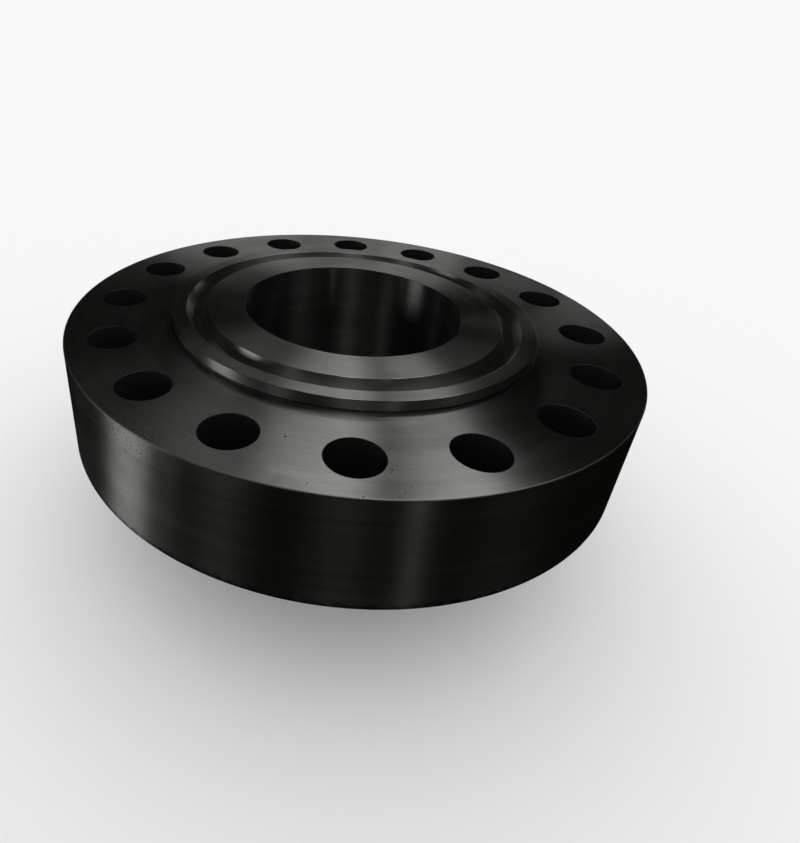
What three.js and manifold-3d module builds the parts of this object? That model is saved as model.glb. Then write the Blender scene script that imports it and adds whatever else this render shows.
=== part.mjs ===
// A weld neck pipe flange, NPS 12 Class 1500 with a ring-joint face, after ASME B16.5.
//
// The flange is one steel forging, machined all over, so it is one closed solid: a turned profile with the
// stud holes taken out of it. Nothing on it comes apart and nothing moves.
//
// Units are millimetres. +Z runs along the pipe axis towards the ring-joint face, and the origin is the
// centre of the weld end, on which the flange stands.
import * as THREE from "three";
import { mergeVertices } from "three/addons/utils/BufferGeometryUtils.js";
import Module from "manifold-3d";

// Flange ring and studs
const RING_DIAMETER = 673.1;
const RING_THICKNESS = 124;
const RING_CHAMFER = 1.5;
const STUD_CIRCLE_DIAMETER = 571.5;
const STUD_HOLE_DIAMETER = 54;
const STUD_HOLE_CHAMFER = 1;
const STUD_COUNT = 16;

// Hub and weld end
const FLANGE_LENGTH = 282.4; // from the weld end to the face of the ring, without the raised face
const BORE_DIAMETER = 266.7;
const BORE_CHAMFER = 1;
const HUB_DIAMETER = 450.9; // where the taper would meet the back of the ring
const HUB_FILLET = 12;
const NECK_DIAMETER = 323.9;
const NECK_LENGTH = 35;

// Weld preparation: a flat root, a wide bevel, then a steep one
const ROOT_FACE = 1.6;
const WIDE_BEVEL_DEPTH = 19; // wall thickness at which the wide bevel ends
const WIDE_BEVEL_ANGLE = THREE.MathUtils.degToRad(37.5);
const STEEP_BEVEL_ANGLE = THREE.MathUtils.degToRad(10);

// Ring-joint face
const RAISED_DIAMETER = 438.2;
const RAISED_HEIGHT = 14.3; // the groove is as deep as the face is raised
const RAISED_FILLET = 3;
const RAISED_CHAMFER = 0.8;
const GROOVE_PITCH_DIAMETER = 381;
const GROOVE_WIDTH = 23;
const GROOVE_FLANK_ANGLE = THREE.MathUtils.degToRad(23);
const GROOVE_CORNER = 1.5;

// Modelling
const ROUND_SEGMENTS = 96;
const HOLE_SEGMENTS = 24;
const ARC_DIVISIONS = 2;
const CUTTER_OVERRUN = 1;

// Heights and radii that follow from the sizes above
const boreRadius = BORE_DIAMETER / 2;
const neckRadius = NECK_DIAMETER / 2;
const hubRadius = HUB_DIAMETER / 2;
const ringRadius = RING_DIAMETER / 2;
const raisedRadius = RAISED_DIAMETER / 2;
const faceHeight = FLANGE_LENGTH;
const backHeight = FLANGE_LENGTH - RING_THICKNESS;
const topHeight = FLANGE_LENGTH + RAISED_HEIGHT;

// How far from a corner a rounding of this radius starts, where one side leans back by this angle.
function tangentLength(radius, lean) {
  return radius / Math.tan((Math.PI / 2 + lean) / 2);
}

function lineThrough(outline, ...points) {
  for (const [r, z] of points) {
    outline.lineTo(r, z);
  }
}

// The weld end: root face, the two bevels, and the straight neck.
function addWeldEnd(outline) {
  const wideRise = (WIDE_BEVEL_DEPTH - ROOT_FACE) * Math.tan(WIDE_BEVEL_ANGLE);
  const steepRise = (neckRadius - boreRadius - WIDE_BEVEL_DEPTH) * Math.tan(STEEP_BEVEL_ANGLE);
  outline.moveTo(boreRadius, 0);
  lineThrough(
    outline,
    [boreRadius + ROOT_FACE, 0],
    [boreRadius + WIDE_BEVEL_DEPTH, wideRise],
    [neckRadius, wideRise + steepRise],
    [neckRadius, NECK_LENGTH],
  );
}

// The hub's taper and the fillet that carries it into the back of the ring.
function addHub(outline) {
  const slope = Math.atan((hubRadius - neckRadius) / (backHeight - NECK_LENGTH));
  const centre = hubRadius + tangentLength(HUB_FILLET, slope);
  outline.absarc(centre, backHeight - HUB_FILLET, HUB_FILLET, Math.PI - slope, Math.PI / 2, true);
}

function addRing(outline) {
  lineThrough(
    outline,
    [ringRadius - RING_CHAMFER, backHeight],
    [ringRadius, backHeight + RING_CHAMFER],
    [ringRadius, faceHeight - RING_CHAMFER],
    [ringRadius - RING_CHAMFER, faceHeight],
  );
}

// The raised face with its ring groove, from the fillet at its foot to the mouth of the bore.
function addRingJointFace(outline) {
  const flankRun = RAISED_HEIGHT * Math.tan(GROOVE_FLANK_ANGLE);
  const outerTop = (GROOVE_PITCH_DIAMETER + GROOVE_WIDTH) / 2;
  const innerTop = (GROOVE_PITCH_DIAMETER - GROOVE_WIDTH) / 2;
  const inset = tangentLength(GROOVE_CORNER, GROOVE_FLANK_ANGLE);
  const outerCorner = outerTop - flankRun - inset;
  const innerCorner = innerTop + flankRun + inset;
  const cornerHeight = faceHeight + GROOVE_CORNER;
  const footRadius = raisedRadius + RAISED_FILLET;
  const footHeight = faceHeight + RAISED_FILLET;
  const down = -Math.PI / 2;
  outline.absarc(footRadius, footHeight, RAISED_FILLET, down, -Math.PI, true);
  lineThrough(
    outline,
    [raisedRadius, topHeight - RAISED_CHAMFER],
    [raisedRadius - RAISED_CHAMFER, topHeight],
    [outerTop, topHeight],
  );
  outline.absarc(outerCorner, cornerHeight, GROOVE_CORNER, -GROOVE_FLANK_ANGLE, down, true);
  outline.absarc(innerCorner, cornerHeight, GROOVE_CORNER, down, GROOVE_FLANK_ANGLE - Math.PI, true);
  lineThrough(
    outline,
    [innerTop, topHeight],
    [boreRadius + BORE_CHAMFER, topHeight],
    [boreRadius, topHeight - BORE_CHAMFER],
  );
}

// A closed outline of radius and height, turned about the Z axis. The outline runs counterclockwise.
function turned(outline, segments) {
  const points = outline.getPoints(ARC_DIVISIONS);
  points.push(points[0].clone());
  return new THREE.LatheGeometry(points, segments).rotateX(Math.PI / 2);
}

function flangeBlank() {
  const outline = new THREE.Path();
  addWeldEnd(outline);
  addHub(outline);
  addRing(outline);
  addRingJointFace(outline);
  return turned(outline, ROUND_SEGMENTS);
}

// What one stud hole takes away: a straight hole with a chamfer at both faces.
function studHoleCutter() {
  const radius = STUD_HOLE_DIAMETER / 2;
  const mouth = radius + STUD_HOLE_CHAMFER + CUTTER_OVERRUN;
  const outline = new THREE.Path();
  outline.moveTo(0, backHeight - CUTTER_OVERRUN);
  lineThrough(
    outline,
    [mouth, backHeight - CUTTER_OVERRUN],
    [radius, backHeight + STUD_HOLE_CHAMFER],
    [radius, faceHeight - STUD_HOLE_CHAMFER],
    [mouth, faceHeight + CUTTER_OVERRUN],
    [0, faceHeight + CUTTER_OVERRUN],
  );
  return turned(outline, HOLE_SEGMENTS);
}

const wasm = await Module();
wasm.setup();

function solidOf(geometry) {
  const bare = geometry.clone();
  bare.deleteAttribute("normal");
  bare.deleteAttribute("uv");
  const merged = mergeVertices(bare, 1e-3);
  const mesh = new wasm.Mesh({
    numProp: 3,
    vertProperties: merged.attributes.position.array,
    triVerts: new Uint32Array(merged.index.array),
  });
  return new wasm.Manifold(mesh);
}

function geometryOf(solid) {
  const mesh = solid.getMesh();
  const geometry = new THREE.BufferGeometry();
  geometry.setAttribute("position", new THREE.BufferAttribute(mesh.vertProperties, 3));
  geometry.setIndex(new THREE.BufferAttribute(mesh.triVerts, 1));
  geometry.computeVertexNormals();
  return geometry;
}

// The blank with its stud holes, which straddle the X and Y axes.
function drilledFlange() {
  const cutter = solidOf(studHoleCutter());
  const place = STUD_CIRCLE_DIAMETER / 2;
  let flange = solidOf(flangeBlank());
  for (let i = 0; i < STUD_COUNT; i += 1) {
    const angle = ((i + 0.5) / STUD_COUNT) * 2 * Math.PI;
    flange = flange.subtract(cutter.translate([place * Math.cos(angle), place * Math.sin(angle), 0]));
  }
  return geometryOf(flange);
}

const machinedSteel = new THREE.MeshStandardMaterial({ color: 0x4b4a47, roughness: 0.35, metalness: 1 });
const forging = new THREE.Mesh(drilledFlange(), machinedSteel);
forging.name = "flange_forging";

const flange = new THREE.Group();
flange.add(forging);

export default flange;
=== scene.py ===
import math

import bmesh
import bpy
from mathutils import Matrix, Vector


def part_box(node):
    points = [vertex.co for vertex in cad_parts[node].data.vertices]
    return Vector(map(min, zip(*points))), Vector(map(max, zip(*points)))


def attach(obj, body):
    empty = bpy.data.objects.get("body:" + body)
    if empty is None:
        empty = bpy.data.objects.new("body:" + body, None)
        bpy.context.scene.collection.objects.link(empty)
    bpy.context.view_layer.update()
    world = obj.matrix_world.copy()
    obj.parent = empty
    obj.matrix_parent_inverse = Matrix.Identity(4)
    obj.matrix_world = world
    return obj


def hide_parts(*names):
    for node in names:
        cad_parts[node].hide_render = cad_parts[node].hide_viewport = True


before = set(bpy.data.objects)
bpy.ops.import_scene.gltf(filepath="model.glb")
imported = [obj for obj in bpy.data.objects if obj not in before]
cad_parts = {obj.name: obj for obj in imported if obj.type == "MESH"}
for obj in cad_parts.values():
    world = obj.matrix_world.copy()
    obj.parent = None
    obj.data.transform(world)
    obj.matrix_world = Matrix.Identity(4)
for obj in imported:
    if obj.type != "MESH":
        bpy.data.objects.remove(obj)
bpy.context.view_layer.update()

NODE = "flange_forging"

# ---------------------------------------------------------------- sizes, in metres
MM = 0.001

HIGH_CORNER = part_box(NODE)[1]
RING_RADIUS = HIGH_CORNER.x
TOP = HIGH_CORNER.z
RAISED_HEIGHT = 14.3 * MM
FACE = TOP - RAISED_HEIGHT
RING_THICKNESS = 124 * MM
BACK = FACE - RING_THICKNESS

STUD_CIRCLE = 571.5 / 2 * MM
STUD_HOLE = 27 * MM
STUD_COUNT = 16
STUD_STEP = 2 * math.pi / STUD_COUNT

# radii
BORE = 266.7 / 2 * MM
NECK = 323.9 / 2 * MM
HUB = 450.9 / 2 * MM
RAISED = 438.2 / 2 * MM
GROOVE_OUTER = (381 + 23) / 2 * MM
GROOVE_INNER = (381 - 23) / 2 * MM

GROOVE_FLANK = math.radians(23)
NECK_LENGTH = 35 * MM
ROOT_FACE = 1.6 * MM
WIDE_BEVEL = 19 * MM  # how far from the bore the first bevel ends and the steep one begins
WIDE_BEVEL_ANGLE = math.radians(37.5)
STEEP_BEVEL_ANGLE = math.radians(10)

HUB_FILLET = 12 * MM
RAISED_FILLET = 3 * MM
GROOVE_CORNER = 1.5 * MM
# how far the worn or chamfered edges are broken
RIM_BREAK = 1.5 * MM
LAND_BREAK = 0.6 * MM
GROOVE_BREAK = 0.6 * MM
HOLE_BREAK = 0.7 * MM

# where each cut of the lathe tool ended, below the face on the rim and below the top in the bore,
# and how much lighter the steel is from there downwards
RIM_CUTS = ((24 * MM, -0.14), (60 * MM, 0.08), (84 * MM, -0.08), (104 * MM, 0.04))
BORE_CUTS = (
    (26 * MM, 0.08),
    (34 * MM, -0.08),
    (55 * MM, 0.12),
    (61 * MM, -0.10),
    (96 * MM, 0.08),
    (160 * MM, -0.1),
)
RIM_LINE_DEPTH, RIM_LINE_WIDTH = 0.06 * MM, 1.0 * MM
BORE_LINE_DEPTH, BORE_LINE_WIDTH = 0.08 * MM, 1.2 * MM

# nicks in the face: distance from the axis, angle round from +X in degrees, size
NICKS = (
    (272 * MM, -114, 1.5 * MM),
    (275 * MM, 131, 1.6 * MM),
    (303 * MM, -98, 1.1 * MM),
    (300 * MM, -95.5, 1.4 * MM),
    (282 * MM, -97, 0.9 * MM),
    (311 * MM, -129, 1.1 * MM),
    (226 * MM, -136, 1.0 * MM),
)
RUB = (337 * MM, -137, 45 * MM)  # a patch of the rim's edge that has been knocked about

# how fine the mesh is: sides round the axis and round each hole, and steps along each arc
SEGMENTS = 384
HOLE_SEGMENTS = 64
HUB_FILLET_STEPS = 14
RAISED_FILLET_STEPS = 10
CORNER_STEPS = 6
EDGE_STEPS = 4
SHARP_ANGLE = math.radians(32)  # edges sharper than this are shaded as edges
CLOSE = 0.002 * MM  # points nearer to each other than this are one point


# ---------------------------------------------------------------- the turned outline
def arc(r, z, radius, start, end, steps):
    """Points on an arc, by its centre, its radius and its start and end angles in degrees."""
    for i in range(steps + 1):
        a = math.radians(start + (end - start) * i / steps)
        yield (r + radius * math.cos(a), z + radius * math.sin(a))


def tangent_length(radius, lean):
    """From a corner to where its rounding starts, when one side leans this far from square."""
    return radius / math.tan((math.pi / 2 + lean) / 2)


def tool_line(radius, z, depth, width, upwards=True):
    """A shallow turned line where one cut of the tool ended. In a bore the depth is negative."""
    flat = 0.35  # how much of its width is its floor, with slopes on both sides
    order = (-1, -flat, flat, 1) if upwards else (1, flat, -flat, -1)
    for k in order:
        yield (radius - (depth if abs(k) < 1 else 0), z + k * width / 2)


def weld_end_and_hub():
    wide_rise = (WIDE_BEVEL - ROOT_FACE) * math.tan(WIDE_BEVEL_ANGLE)
    steep_rise = (NECK - BORE - WIDE_BEVEL) * math.tan(STEEP_BEVEL_ANGLE)
    yield (BORE, 0)
    yield (BORE + ROOT_FACE, 0)
    yield (BORE + WIDE_BEVEL, wide_rise)
    yield (NECK, wide_rise + steep_rise)
    yield (NECK, NECK_LENGTH)
    slope = math.atan((HUB - NECK) / (BACK - NECK_LENGTH))
    centre = HUB + tangent_length(HUB_FILLET, slope)
    start = 180 - math.degrees(slope)
    yield from arc(centre, BACK - HUB_FILLET, HUB_FILLET, start, 90, HUB_FILLET_STEPS)


def ring():
    inner = RING_RADIUS - RIM_BREAK
    yield from arc(inner, BACK + RIM_BREAK, RIM_BREAK, -90, 0, CORNER_STEPS)
    for drop, _ in reversed(RIM_CUTS):
        yield from tool_line(RING_RADIUS, FACE - drop, RIM_LINE_DEPTH, RIM_LINE_WIDTH)
    yield from arc(inner, FACE - RIM_BREAK, RIM_BREAK, 0, 90, CORNER_STEPS)


def ring_joint_face():
    """The raised face, from its foot over the outer land, through the groove, to the inner land."""
    run = RAISED_HEIGHT * math.tan(GROOVE_FLANK)
    inset = tangent_length(GROOVE_CORNER, GROOVE_FLANK)
    lean = math.degrees(GROOVE_FLANK)
    corner = FACE + GROOVE_CORNER
    edge = GROOVE_BREAK * math.tan((math.pi / 2 - GROOVE_FLANK) / 2)
    foot = RAISED + RAISED_FILLET
    yield from arc(foot, FACE + RAISED_FILLET, RAISED_FILLET, -90, -180, RAISED_FILLET_STEPS)
    yield from arc(RAISED - LAND_BREAK, TOP - LAND_BREAK, LAND_BREAK, 0, 90, EDGE_STEPS)
    yield from arc(GROOVE_OUTER + edge, TOP - GROOVE_BREAK, GROOVE_BREAK, 90, 180 - lean, EDGE_STEPS)
    yield from arc(GROOVE_OUTER - run - inset, corner, GROOVE_CORNER, -lean, -90, CORNER_STEPS)
    yield from arc(GROOVE_INNER + run + inset, corner, GROOVE_CORNER, -90, lean - 180, CORNER_STEPS)
    yield from arc(GROOVE_INNER - edge, TOP - GROOVE_BREAK, GROOVE_BREAK, lean, 90, EDGE_STEPS)


def bore():
    yield from arc(BORE + LAND_BREAK, TOP - LAND_BREAK, LAND_BREAK, 90, 180, EDGE_STEPS)
    for drop, _ in BORE_CUTS:
        yield from tool_line(BORE, TOP - drop, -BORE_LINE_DEPTH, BORE_LINE_WIDTH, upwards=False)


# ---------------------------------------------------------------- solids
def lathe(name, points, segments, closed):
    """Turns points, given as radius and height, about the Z axis."""
    mesh = bmesh.new()
    rings = []
    for r, z in points:
        if r == 0:
            rings.append([mesh.verts.new((0, 0, z))])
            continue
        angles = (2 * math.pi * i / segments for i in range(segments))
        rings.append([mesh.verts.new((r * math.cos(a), r * math.sin(a), z)) for a in angles])
    pairs = list(zip(rings, rings[1:]))
    if closed:
        pairs.append((rings[-1], rings[0]))
    for a, b in pairs:
        for i in range(segments):
            j = (i + 1) % segments
            corners = [a[i % len(a)], a[j % len(a)], b[j % len(b)], b[i % len(b)]]
            mesh.faces.new(list(dict.fromkeys(corners)))
    bmesh.ops.recalc_face_normals(mesh, faces=mesh.faces)
    data = bpy.data.meshes.new(name)
    mesh.to_mesh(data)
    mesh.free()
    obj = bpy.data.objects.new(name, data)
    bpy.context.scene.collection.objects.link(obj)
    return obj


def stud_hole_cutter():
    """All the stud holes as one object: each is straight, with its edge broken at both faces."""
    wide = STUD_HOLE + HOLE_BREAK
    over = 5 * MM
    outline = [(0, BACK - over), (wide, BACK - over)]
    outline += list(arc(wide, BACK + HOLE_BREAK, HOLE_BREAK, 270, 180, EDGE_STEPS))
    outline += list(arc(wide, FACE - HOLE_BREAK, HOLE_BREAK, 180, 90, EDGE_STEPS))
    outline += [(wide, FACE + over), (0, FACE + over)]
    first = lathe("stud_holes", outline, HOLE_SEGMENTS, closed=False)
    mesh = bmesh.new()
    for i in range(STUD_COUNT):
        a = (i + 0.5) * STUD_STEP
        place = Matrix.Translation((STUD_CIRCLE * math.cos(a), STUD_CIRCLE * math.sin(a), 0))
        known = len(mesh.verts)
        mesh.from_mesh(first.data)
        mesh.verts.ensure_lookup_table()
        bmesh.ops.transform(mesh, matrix=place, verts=mesh.verts[known:])
    mesh.to_mesh(first.data)
    mesh.free()
    return first


def apply_modifiers(obj):
    bpy.context.view_layer.update()
    depsgraph = bpy.context.evaluated_depsgraph_get()
    done = bpy.data.meshes.new_from_object(obj.evaluated_get(depsgraph), depsgraph=depsgraph)
    old = obj.data
    obj.modifiers.clear()
    obj.data = done
    bpy.data.meshes.remove(old)


def merge_close_points(obj):
    """The boolean leaves pairs of points almost on each other, with slivers of faces between them."""
    mesh = bmesh.new()
    mesh.from_mesh(obj.data)
    bmesh.ops.remove_doubles(mesh, verts=mesh.verts, dist=CLOSE)
    mesh.to_mesh(obj.data)
    mesh.free()


def drilled_flange():
    outline = [*weld_end_and_hub(), *ring(), *ring_joint_face(), *bore()]
    body = lathe("weld_neck_flange", outline, SEGMENTS, closed=True)
    cutter = stud_hole_cutter()
    cut = body.modifiers.new("drill", "BOOLEAN")
    cut.operation = "DIFFERENCE"
    cut.solver = "EXACT"
    cut.object = cutter
    apply_modifiers(body)
    bpy.data.objects.remove(cutter)
    merge_close_points(body)
    return body


# ---------------------------------------------------------------- node helpers
class Nodes:
    """Short ways to add maths and textures to one node tree."""

    def __init__(self, tree):
        self.tree = tree
        self.new = tree.nodes.new
        split = self.new("ShaderNodeSeparateXYZ")
        self.place = self.new("ShaderNodeTexCoord").outputs["Object"]
        tree.links.new(self.place, split.inputs[0])
        x, y, self.z = split.outputs
        self.r = self.math("SQRT", self.math("ADD", self.square(x), self.square(y)))
        self.angle = self.math("ARCTAN2", y, x)

    def put(self, socket, value):
        if isinstance(value, bpy.types.NodeSocket):
            self.tree.links.new(value, socket)
        else:
            socket.default_value = value

    def math(self, operation, a, b=0.0, clamp=False):
        node = self.new("ShaderNodeMath")
        node.operation = operation
        node.use_clamp = clamp
        self.put(node.inputs[0], a)
        self.put(node.inputs[1], b)
        return node.outputs[0]

    def square(self, a):
        return self.math("MULTIPLY", a, a)

    def scaled(self, value, amount, offset=0.0):
        return self.math("ADD", self.math("MULTIPLY", value, amount), offset)

    def vector(self, x, y, z):
        node = self.new("ShaderNodeCombineXYZ")
        for socket, value in zip(node.inputs, (x, y, z)):
            self.put(socket, value)
        return node.outputs[0]

    def noise(self, vector, scale, detail=2.0, roughness=0.5):
        node = self.new("ShaderNodeTexNoise")
        self.put(node.inputs["Vector"], vector)
        node.inputs["Scale"].default_value = scale
        node.inputs["Detail"].default_value = detail
        node.inputs["Roughness"].default_value = roughness
        return node.outputs["Fac"]

    def spots(self, vector, scale, size):
        """1 inside scattered small spots, 0 outside."""
        node = self.new("ShaderNodeTexVoronoi")
        self.put(node.inputs["Vector"], vector)
        node.inputs["Scale"].default_value = scale
        return self.ramp(node.outputs["Distance"], size, size * 0.4)

    def ramp(self, value, start, end, low=0.0, high=1.0):
        """Goes smoothly from low to high, as the value goes from start to end."""
        node = self.new("ShaderNodeMapRange")
        node.interpolation_type = "SMOOTHSTEP"
        for socket, v in zip(node.inputs, (value, start, end, low, high)):
            self.put(socket, v)
        return node.outputs[0]

    def mix(self, share, a, b):
        node = self.new("ShaderNodeMix")
        node.data_type = "RGBA"
        self.put(node.inputs["Factor"], share)
        self.put(node.inputs["A"], a)
        self.put(node.inputs["B"], b)
        return node.outputs["Result"]

    def near(self, radius, degrees, height, reach):
        """1 close to one place on the flange, falling to 0 at the reach."""
        a = math.radians(degrees)
        node = self.new("ShaderNodeVectorMath")
        node.operation = "DISTANCE"
        self.put(node.inputs[0], self.place)
        node.inputs[1].default_value = (radius * math.cos(a), radius * math.sin(a), height)
        return self.ramp(node.outputs["Value"], reach, reach * 0.5)

    def below(self, height):
        return self.math("LESS_THAN", self.z, height)

    def tinted(self, color, factor):
        node = self.new("ShaderNodeVectorMath")
        node.operation = "SCALE"
        self.put(node.inputs[0], color)
        self.put(node.inputs["Scale"], factor)
        return node.outputs[0]

    def bump(self, height, distance, strength):
        node = self.new("ShaderNodeBump")
        node.inputs["Strength"].default_value = strength
        node.inputs["Distance"].default_value = distance
        self.put(node.inputs["Height"], height)
        return node.outputs[0]


# ---------------------------------------------------------------- the steel
# how many features of each pattern fit in a metre
BAND_SCALE = 90
LINE_SCALE = 310
SMEAR_SCALE = 26
CLOUD_SCALE = 7
GRAIN_SCALE = 900
STAIN_SCALE = 17
PIT_SCALE = 95
PIT_PATCH_SCALE = 13
SPECKLE_SCALE = 420
LOW_DARK_SCALE = 160

# how fast turned lines and smears change along themselves, in metres for each radian round the axis
LINE_DRIFT = 0.012
SMEAR_DRIFT = 0.10

# colours, as shares of a finish's tone in red, green and blue
DARK_CLOUD = (0.86, 0.86, 0.80)
LIGHT_CLOUD = (1.07, 1.08, 1.03)
BRIGHT_LINE = (1.5, 1.5, 1.45)
DARK_GRAIN = (0.6, 0.6, 0.56)
STAIN = (0.5, 0.47, 0.40)
LOW_DARK_TINT = (0.2, 0.19, 0.16)
PIT_COLOR = (0.012, 0.011, 0.009, 1)

# the darkening's upper limit: how far it wanders, from how far under the ring's back, and its soft edge
LOW_DARK_RAGGED = 16 * MM
LOW_DARK_DROP = 5 * MM
LOW_DARK_FADE = 4 * MM

# how strongly each pattern shows
LINE_SHARE = 0.16
GRAIN_SHARE = 0.14
STAIN_SHARE = 0.4
SPECKLE_SHARE = 0.7
BAND_ROUGHNESS = 0.03
SMEAR_ROUGHNESS = 0.04
STAIN_ROUGHNESS = 0.15
PIT_ROUGHNESS = 0.3
PIT_DEPTH = 6.0  # in depths of a turned line
LINE_HEIGHT = 0.02 * MM
BUMP_STRENGTH = 0.5


def shade(tone, shares):
    return (*(tone * share for share in shares), 1)


def cut_shade(n, top, cuts):
    """How light the steel is at each height, as one cut of the tool gives way to the next."""
    light = 1.0
    for drop, change in cuts:
        light = n.math("ADD", n.scaled(n.below(top - drop), change), light)
    return light


def marks(n, dirt):
    """Pits and nicks: scattered ones, larger ones in the face, and the rubbed patch of the rim's edge."""
    patch = n.ramp(n.noise(n.place, PIT_PATCH_SCALE), 0.60, 0.66)
    pit = n.math("MULTIPLY", n.spots(n.place, PIT_SCALE, 0.10), patch)
    pit = n.math("MULTIPLY", pit, dirt)
    for radius, degrees, size in NICKS:
        pit = n.math("MAXIMUM", pit, n.near(radius, degrees, FACE, size))
    radius, degrees, reach = RUB
    speckle = n.ramp(n.noise(n.place, SPECKLE_SCALE, 2, 0.6), 0.56, 0.68)
    speckle = n.math("MULTIPLY", speckle, n.near(radius, degrees, FACE, reach))
    return n.math("MAXIMUM", pit, n.scaled(speckle, SPECKLE_SHARE))


def low_darkening(n):
    """Ragged darkening along the rim's lower edge, darker towards the bottom."""
    top = n.scaled(n.noise(n.place, LOW_DARK_SCALE, 3, 0.6), LOW_DARK_RAGGED, BACK - LOW_DARK_DROP)
    return n.ramp(n.z, top, n.math("ADD", top, LOW_DARK_FADE), 1.0, 0.0)


def steel_color(n, tone, line, stain, pit, low_dark):
    cloud = n.ramp(n.noise(n.place, CLOUD_SCALE, 4, 0.6), 0.3, 0.7)
    grain = n.ramp(n.noise(n.place, GRAIN_SCALE, 2, 0.6), 0.40, 0.62)
    color = n.mix(cloud, shade(tone, DARK_CLOUD), shade(tone, LIGHT_CLOUD))
    color = n.mix(n.scaled(n.ramp(line, 0.35, 0.65), LINE_SHARE), color, shade(tone, BRIGHT_LINE))
    color = n.mix(n.scaled(grain, GRAIN_SHARE), color, shade(tone, DARK_GRAIN))
    color = n.mix(stain, color, shade(tone, STAIN))
    color = n.mix(pit, color, PIT_COLOR)
    if low_dark:
        color = n.mix(n.scaled(low_darkening(n), low_dark), color, shade(tone, LOW_DARK_TINT))
    return color


def steel_roughness(n, lowest, band, smear, stain, pit):
    rough = n.math("ADD", n.math("ADD", band, lowest), smear)
    rough = n.math("ADD", rough, n.scaled(stain, STAIN_ROUGHNESS))
    return n.math("ADD", rough, n.scaled(pit, PIT_ROUGHNESS), clamp=True)


def turned_steel(
    name,
    tone,
    roughness,
    anisotropy,
    grooves=1.0,
    dirt=1.0,
    smears=1.0,
    low_dark=0.0,
    metallic=1.0,
    top=0.0,
    cuts=(),
):
    """Dark oiled steel with the lines that a lathe tool leaves, round the Z axis.

    Tone is its lightness and roughness its lowest. Grooves, dirt and smears are how strongly those
    show, with 1 the usual. Cuts are where the tool's cuts ended, measured down from top.
    """
    material = bpy.data.materials.new(name)
    material.use_nodes = True
    tree = material.node_tree
    shader = tree.nodes["Principled BSDF"]
    n = Nodes(tree)

    # rings that go all the way round: broad bands and fine lines, with a slight drift along them
    drawn = n.vector(n.r, n.z, n.scaled(n.angle, LINE_DRIFT))
    band = n.ramp(n.noise(drawn, BAND_SCALE), 0.35, 0.65)
    line = n.noise(drawn, LINE_SCALE, 1, 0.6)
    # what handling leaves: smears drawn out along the lines, stains, and pits
    smeared = n.vector(n.r, n.z, n.scaled(n.angle, SMEAR_DRIFT))
    smear = n.ramp(n.noise(smeared, SMEAR_SCALE, 3, 0.6), 0.4, 0.7)
    stain = n.ramp(n.noise(n.place, STAIN_SCALE), 0.50, 0.80)
    stain = n.math("MULTIPLY", stain, STAIN_SHARE * dirt)
    pit = marks(n, dirt)

    color = steel_color(n, tone, line, stain, pit, low_dark)
    if cuts:
        color = n.tinted(color, cut_shade(n, top, cuts))
    n.put(shader.inputs["Base Color"], color)

    band = n.math("MULTIPLY", band, BAND_ROUGHNESS * grooves)
    smear = n.scaled(smear, SMEAR_ROUGHNESS * smears)
    n.put(shader.inputs["Roughness"], steel_roughness(n, roughness, band, smear, stain, pit))

    height = n.math("SUBTRACT", n.scaled(line, grooves), n.scaled(pit, PIT_DEPTH))
    n.put(shader.inputs["Normal"], n.bump(height, LINE_HEIGHT, BUMP_STRENGTH))

    shader.inputs["Metallic"].default_value = metallic
    shader.inputs["Anisotropic"].default_value = anisotropy
    # a quarter turn, because the tool's lines spread a highlight across themselves
    shader.inputs["Anisotropic Rotation"].default_value = 0.25
    if anisotropy:
        tangent = n.new("ShaderNodeTangent")
        tangent.direction_type = "RADIAL"
        tangent.axis = "Z"
        n.put(shader.inputs["Tangent"], tangent.outputs[0])
    return material


# ---------------------------------------------------------------- which part has which finish
# the upright part of a face's normal: above LEVEL the face lies across the axis, below UPRIGHT it runs
# along the axis, and between them it is slanted
LEVEL = 0.999
UPRIGHT = 0.06
BORE_BAND = 5 * MM  # above this height, whatever is close to the bore belongs to it
# how far off a surface a face's centre may be
BORE_SLACK = 0.3 * MM
WALL_SLACK = 0.2 * MM
FLOOR_SLACK = 0.02 * MM


def zone_of(face):
    """Which finish a face of the flange has."""
    c, steepness = face.center, abs(face.normal.z)
    r = math.hypot(c.x, c.y)
    slanted = UPRIGHT < steepness < LEVEL
    step = math.atan2(c.y, c.x) % STUD_STEP - STUD_STEP / 2
    to_hole = math.hypot(r * math.cos(step) - STUD_CIRCLE, r * math.sin(step))
    if to_hole < STUD_HOLE + HOLE_BREAK and BACK < c.z < FACE and steepness < LEVEL:
        return "hole_edge" if slanted else "hole"
    if r < BORE + LAND_BREAK and BORE_BAND < c.z:
        return "hole_edge" if slanted and c.z > TOP - LAND_BREAK else "bore"
    if r > RING_RADIUS - RIM_BREAK and c.z < FACE:
        return "edge" if slanted and not BACK + RIM_BREAK < c.z < FACE - RIM_BREAK else "rim"
    if c.z < BACK + RIM_BREAK:
        return "bore" if r < BORE + BORE_SLACK else "hub"
    beside_raised_face = FACE + FLOOR_SLACK < c.z < TOP - LAND_BREAK
    if beside_raised_face and RAISED - WALL_SLACK < r < RAISED + RAISED_FILLET:
        return "foot" if slanted else "wall"
    if GROOVE_INNER < r < GROOVE_OUTER and c.z < TOP - GROOVE_BREAK:
        return "groove"
    return "face"


def rim_steel():
    return turned_steel("steel_rim", 0.27, 0.37, 1.0, grooves=1.2, low_dark=0.7, top=FACE, cuts=RIM_CUTS)


def bore_steel():
    return turned_steel("steel_bore", 0.16, 0.30, 1.0, grooves=1.2, metallic=0.98, top=TOP, cuts=BORE_CUTS)


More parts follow.
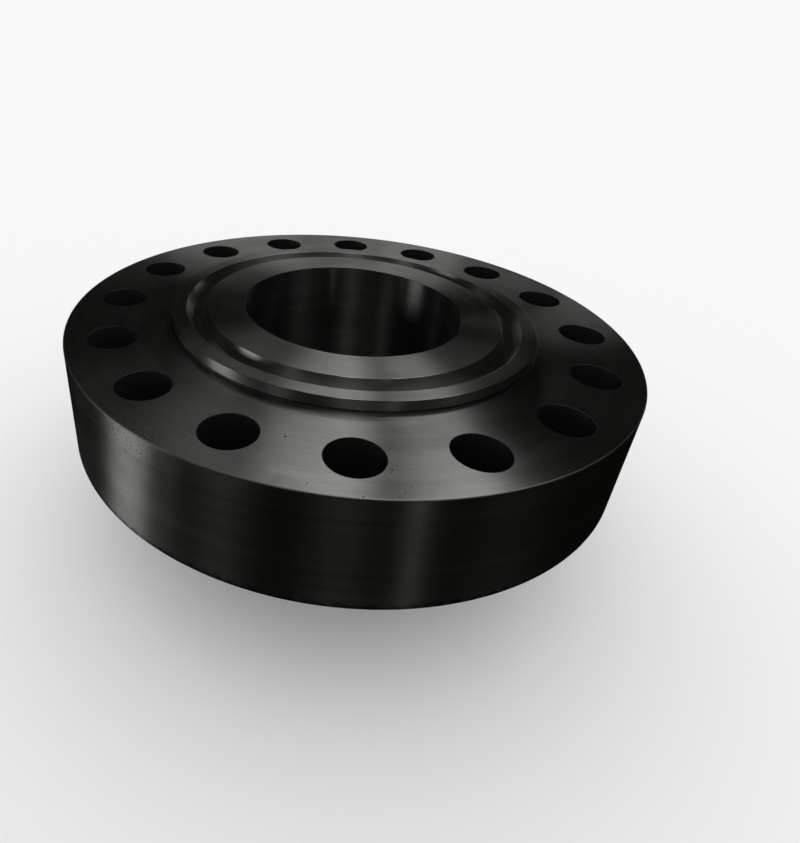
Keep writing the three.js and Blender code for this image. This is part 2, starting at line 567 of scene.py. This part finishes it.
def finish_flange(body):
    # tone, roughness, anisotropy
    zones = {
        "face": turned_steel("steel_face", 0.20, 0.28, 0.92, smears=0.4),
        "groove": turned_steel("steel_groove", 0.20, 0.32, 0.92, smears=0.5),
        "wall": turned_steel("steel_wall", 0.32, 0.42, 1.0),
        # the foot's near-black tone is painted shade in the corner at the foot of the raised face, with
        # some oil there too
        "foot": turned_steel("steel_foot_oil_and_painted_shade", 0.05, 0.45, 0.8, dirt=1.5),
        "rim": rim_steel(),
        "bore": bore_steel(),
        # the stud holes' near-black tone is painted shade inside the holes, with some oil there too
        "hole": turned_steel("steel_stud_hole_oil_and_painted_shade", 0.03, 0.45, 0.0, metallic=0.8),
        # the broken edges of the stud holes and the bore are darkened almost to black: painted shade that
        # holds back their highlight, with some oil
        "hole_edge": turned_steel("steel_hole_edge_oil_and_painted_shade", 0.035, 0.42, 0.3),
        "edge": turned_steel("steel_worn_edge", 0.20, 0.40, 0.7, smears=2.0),
        "hub": turned_steel("steel_hub", 0.15, 0.44, 0.9, dirt=1.3),
    }
    names = list(zones)
    for material in zones.values():
        body.data.materials.append(material)
    for face in body.data.polygons:
        face.material_index = names.index(zone_of(face))
        face.use_smooth = True
    body.data.set_sharp_from_angle(angle=SHARP_ANGLE)
    weigh = body.modifiers.new("weigh", "WEIGHTED_NORMAL")
    weigh.keep_sharp = True
    apply_modifiers(body)


# ---------------------------------------------------------------- floor, lights and camera
ROOM_LIGHT = 1.12
ROOM_REFLECTION = 0.007
REFLECTION_TINT = (1, 0.92, 0.65, 1)
FLOOR_TONE = 0.84
FLOOR_REACH = 400  # far enough for its edge to pass for the horizon
LIGHT_DISTANCE = 3.0

CAMERA_PLACE = (-0.168, -0.662, 0.586)
CAMERA_HEADING = math.radians(10.3)  # clockwise from +Y, seen from above
CAMERA_DOWN = math.radians(29.2)
CAMERA_ROLL = math.radians(4.25)
CAMERA_LENS = 25.4  # in millimetres, as the sensor is
CAMERA_SENSOR = 36
CAMERA_SHIFT = (0.106, -0.065)


def plain_floor():
    data = bpy.data.meshes.new("floor")
    reach = FLOOR_REACH
    corners = [(-reach, -reach, 0), (reach, -reach, 0), (reach, reach, 0), (-reach, reach, 0)]
    data.from_pydata(corners, [], [(0, 1, 2, 3)])
    obj = bpy.data.objects.new("floor", data)
    bpy.context.scene.collection.objects.link(obj)
    material = bpy.data.materials.new("pale_floor")
    material.use_nodes = True
    shader = material.node_tree.nodes["Principled BSDF"]
    shader.inputs["Base Color"].default_value = (FLOOR_TONE, FLOOR_TONE, FLOOR_TONE, 1)
    shader.inputs["Roughness"].default_value = 0.9
    shader.inputs["Specular IOR Level"].default_value = 0.0
    data.materials.append(material)
    obj.visible_glossy = False


def studio_world():
    """A pale even room. Reflections see a dim and warmer one, as if dark flags stood round the flange."""
    world = bpy.data.worlds.new("studio")
    bpy.context.scene.world = world
    world.use_nodes = True
    tree = world.node_tree
    rays = tree.nodes.new("ShaderNodeLightPath").outputs
    background = tree.nodes["Background"].inputs

    # the camera sees the room as pale as the floor
    seen = tree.nodes.new("ShaderNodeMix")
    tree.links.new(rays["Is Camera Ray"], seen.inputs["Factor"])
    seen.inputs["A"].default_value = ROOM_LIGHT
    seen.inputs["B"].default_value = ROOM_LIGHT * FLOOR_TONE
    mirrored = tree.nodes.new("ShaderNodeMix")
    tree.links.new(rays["Is Glossy Ray"], mirrored.inputs["Factor"])
    tree.links.new(seen.outputs["Result"], mirrored.inputs["A"])
    mirrored.inputs["B"].default_value = ROOM_REFLECTION
    tree.links.new(mirrored.outputs["Result"], background["Strength"])

    tint = tree.nodes.new("ShaderNodeMix")
    tint.data_type = "RGBA"
    tree.links.new(rays["Is Glossy Ray"], tint.inputs["Factor"])
    tint.inputs["A"].default_value = (1, 1, 1, 1)
    tint.inputs["B"].default_value = REFLECTION_TINT
    tree.links.new(tint.outputs["Result"], background["Color"])


def softbox(lit, name, azimuth, elevation, width, height, power):
    """A light that faces the flange, at this angle round from +X. It lights only the objects in lit."""
    data = bpy.data.lights.new(name, "AREA")
    data.shape = "RECTANGLE"
    data.size, data.size_y = width, height
    data.energy = power
    obj = bpy.data.objects.new(name, data)
    bpy.context.scene.collection.objects.link(obj)
    a, e = math.radians(azimuth), math.radians(elevation)
    away = Vector((math.cos(e) * math.cos(a), math.cos(e) * math.sin(a), math.sin(e)))
    middle = Vector((0, 0, FACE))
    obj.location = middle + away * LIGHT_DISTANCE
    obj.rotation_euler = away.to_track_quat("Z", "Y").to_euler()
    obj.light_linking.receiver_collection = lit
    obj.visible_camera = False


def lights(flange):
    lit = bpy.data.collections.new("lit")
    lit.objects.link(flange)
    # name, angle round and angle up in degrees, width and height in metres, power in watts
    softbox(lit, "left_panel", -175, 5, 0.80, 1.0, 13)
    softbox(lit, "front_left_strip", -158, 5, 0.30, 0.7, 0.6)
    softbox(lit, "front_left_high", -148, 45, 0.40, 1.0, 2.8)
    softbox(lit, "front_strip", -78, 5, 0.10, 1.0, 1.0)
    softbox(lit, "front_overhead_strip", -94, 79, 0.12, 0.8, 11)
    softbox(lit, "back_low_left", 92, 5, 0.90, 0.7, 1.4)
    softbox(lit, "back_low_right", 68, 5, 0.50, 0.7, 1.6)
    softbox(lit, "back_middle", 100, 45, 0.50, 1.0, 1.2)
    softbox(lit, "back_high", 80, 61, 0.80, 1.9, 12)
    softbox(lit, "back_left_strip", 144, 30, 0.12, 0.8, 0.9)
    softbox(lit, "right_high", -8, 61, 0.80, 1.0, 7)
    softbox(lit, "right_high_strip", 36, 61, 0.08, 1.0, 14)
    softbox(lit, "right_low", 45, 5, 0.50, 0.7, 1.2)
    # these lie lower than the face, so they only show from the sides and the back
    softbox(lit, "rear_low_right", 58, -3, 0.50, 0.25, 14)
    softbox(lit, "rear_low_left", 93, -3, 0.25, 0.25, 8)


def photo_camera():
    data = bpy.data.cameras.new("camera")
    data.lens = CAMERA_LENS
    data.sensor_fit = "VERTICAL"
    data.sensor_height = CAMERA_SENSOR
    data.sensor_width = CAMERA_SENSOR
    data.shift_x, data.shift_y = CAMERA_SHIFT
    obj = bpy.data.objects.new("camera", data)
    bpy.context.scene.collection.objects.link(obj)
    turn = Matrix.Rotation(-CAMERA_HEADING, 4, "Z")
    turn = turn @ Matrix.Rotation(math.pi / 2 - CAMERA_DOWN, 4, "X")
    turn = turn @ Matrix.Rotation(CAMERA_ROLL, 4, "Z")
    obj.matrix_world = Matrix.Translation(CAMERA_PLACE) @ turn
    bpy.context.scene.camera = obj


flange = drilled_flange()
finish_flange(flange)
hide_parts(NODE)
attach(flange, "root")
plain_floor()
studio_world()
lights(flange)
photo_camera()
bpy.context.scene.view_settings.view_transform = "Standard"

bpy.context.view_layer.update()
